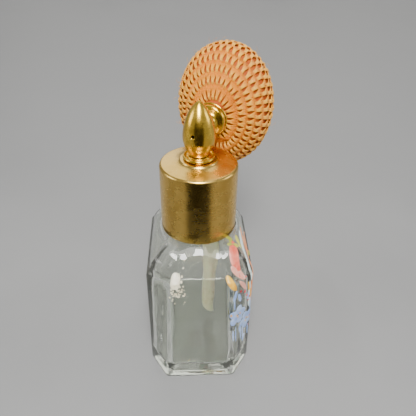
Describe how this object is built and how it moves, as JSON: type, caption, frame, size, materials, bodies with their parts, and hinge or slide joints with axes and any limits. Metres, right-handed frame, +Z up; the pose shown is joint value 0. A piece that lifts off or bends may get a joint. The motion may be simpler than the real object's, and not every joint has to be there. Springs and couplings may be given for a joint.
{
  "type": "perfume atomizer",
  "caption": "Clear glass perfume bottle with a tall gold screw collar, an acorn-shaped spray head and a crocheted rubber squeeze bulb.",
  "frame": {"origin": "centre of the bottle's flat underside", "axes": "+Z up along the neck and collar, -Y towards the bottle's narrow front end, +X towards its painted wide side"},
  "size_m": [0.0522, 0.0824, 0.1223],
  "materials": {
    "clear_glass": "polished, thick and slightly green",
    "satin_gold": "satin gold plate, worn and faintly pitted",
    "polished_gold": "polished gold plate with tarnish",
    "brass": "plain turned",
    "liner_plastic": "moulded",
    "tube_plastic": "translucent, yellowed",
    "black_rubber": "matte",
    "crochet_silk": "crocheted silk thread",
    "fibre": "pressed fibre"
  },
  "bodies": {
    "bottle": {"glass_bottle": "clear_glass"},
    "gasket": {"neck_gasket": "black_rubber"},
    "collar": {"collar_shell": "satin_gold", "collar_liner": "liner_plastic"},
    "head": {"head_base_ring": "polished_gold", "atomizer_head": "polished_gold", "head_stem": "brass", "stem_washer": "fibre", "stem_nut": "brass", "siphon_nipple": "brass", "dip_tube": "tube_plastic", "liquid_jet": "brass", "spray_nozzle": "brass", "air_pipe": "brass", "bulb_ferrule": "polished_gold", "ferrule_bead": "polished_gold", "bulb_nipple": "brass", "outlet_ball_seat": "brass", "rubber_bladder": "black_rubber", "bulb_cover": "crochet_silk", "mouth_binding": "crochet_silk"},
    "outlet_ball": {"outlet_check_ball": "brass"},
    "tail": {"inlet_valve_body": "polished_gold", "inlet_valve_cap": "polished_gold"},
    "inlet_disc": {"inlet_valve_disc": "black_rubber"}
  },
  "joints": [
    {"name": "collar_climb", "type": "slide", "parent": "bottle", "child": "gasket", "axis": [0, 0, 1], "range_m": [0, 0.004]},
    {"name": "collar_turn", "type": "hinge", "parent": "gasket", "child": "collar", "pos_m": [0, 0, 0.065], "axis": [0, 0, 1], "range_deg": [0, 450]},
    {"name": "head_swivel", "type": "hinge", "parent": "gasket", "child": "head", "pos_m": [0, 0, 0.0845], "axis": [0, 0, 1], "continuous": true},
    {"name": "bulb_squeeze", "type": "slide", "parent": "head", "child": "tail", "axis": [-0.4067, -0.9135, 0], "range_m": [0, 0.012], "stiffness_N_per_m": 400, "deforming": ["bulb_cover", "rubber_bladder"]},
    {"name": "outlet_check", "type": "slide", "parent": "head", "child": "outlet_ball", "axis": [-0.4067, -0.9135, 0], "range_m": [0, 0.0009]},
    {"name": "inlet_check", "type": "slide", "parent": "tail", "child": "inlet_disc", "axis": [0.4067, 0.9135, 0], "range_m": [0, 0.0009]}
  ],
  "couplings": [
    {"joint": "collar_turn", "follows": "collar_climb", "rad_per_m": 1963.5}
  ]
}
